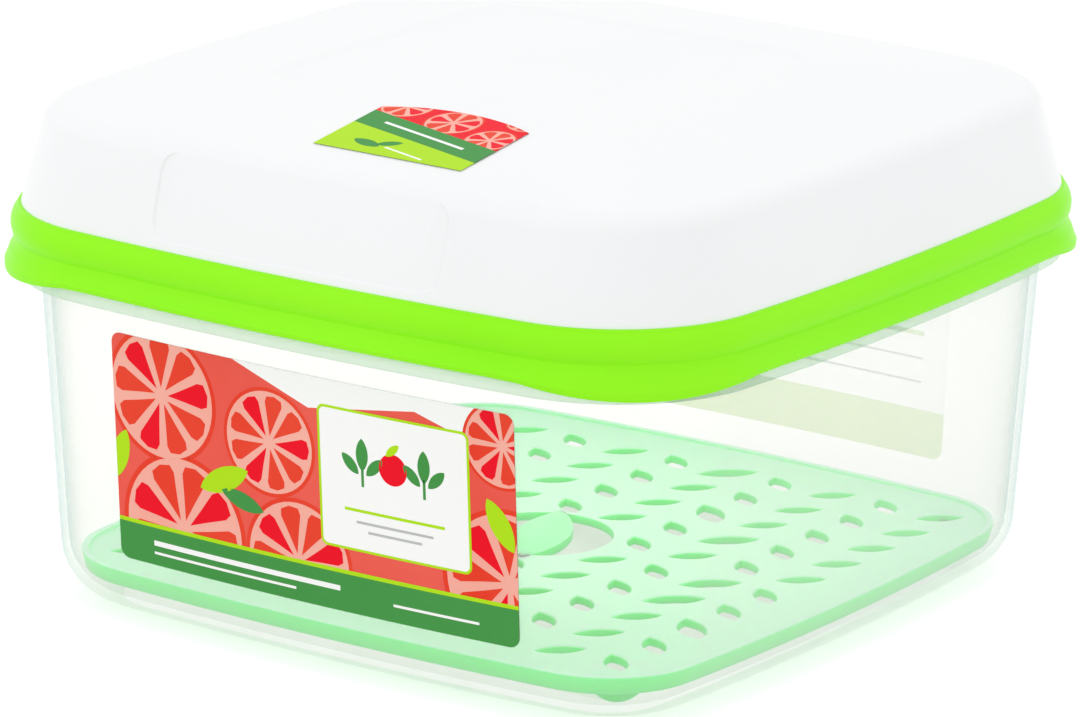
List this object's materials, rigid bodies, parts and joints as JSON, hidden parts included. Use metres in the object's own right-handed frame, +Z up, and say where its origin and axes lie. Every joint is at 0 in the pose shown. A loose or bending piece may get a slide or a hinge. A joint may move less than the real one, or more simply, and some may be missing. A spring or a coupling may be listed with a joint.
{
  "type": "produce keeper",
  "caption": "Square clear food keeper with a slotted drain tray inside and a domed white lid whose soft green band seals over the rim.",
  "frame": {"origin": "middle of the underside, on the surface that the keeper stands on", "axes": "+Z up; -Y towards the wall that carries the front label; +X to the right seen from the front"},
  "size_m": [0.2, 0.2, 0.12],
  "materials": {
    "clear_tub": "clear, slightly milky moulded plastic",
    "front_print": "glossy printed film",
    "back_print": "glossy printed film",
    "mint_tray": "translucent moulded plastic, fine satin top",
    "white_dome": "satin moulded plastic",
    "lime_band": "soft satin moulded band",
    "filter_felt": "matt porous film",
    "lid_print": "glossy printed film"
  },
  "bodies": {
    "tub": {"tub": "clear_tub", "front_label": "front_print", "back_label": "back_print"},
    "lid": {"lid_dome": "white_dome", "lid_band": "lime_band", "vent_filter": "filter_felt", "lid_label": "lid_print"},
    "tray": {"drain_tray": "mint_tray"}
  },
  "joints": [
    {"name": "lid_lift", "type": "slide", "parent": "tub", "child": "lid", "axis": [0, 0, 1], "range_m": [0, 0.19]},
    {"name": "tray_lift", "type": "slide", "parent": "tub", "child": "tray", "axis": [0, 0, 1], "range_m": [0, 0.095]}
  ],
  "couplings": [
    {"joint": "tray_lift", "follows": "lid_lift", "ratio": 0.5}
  ]
}
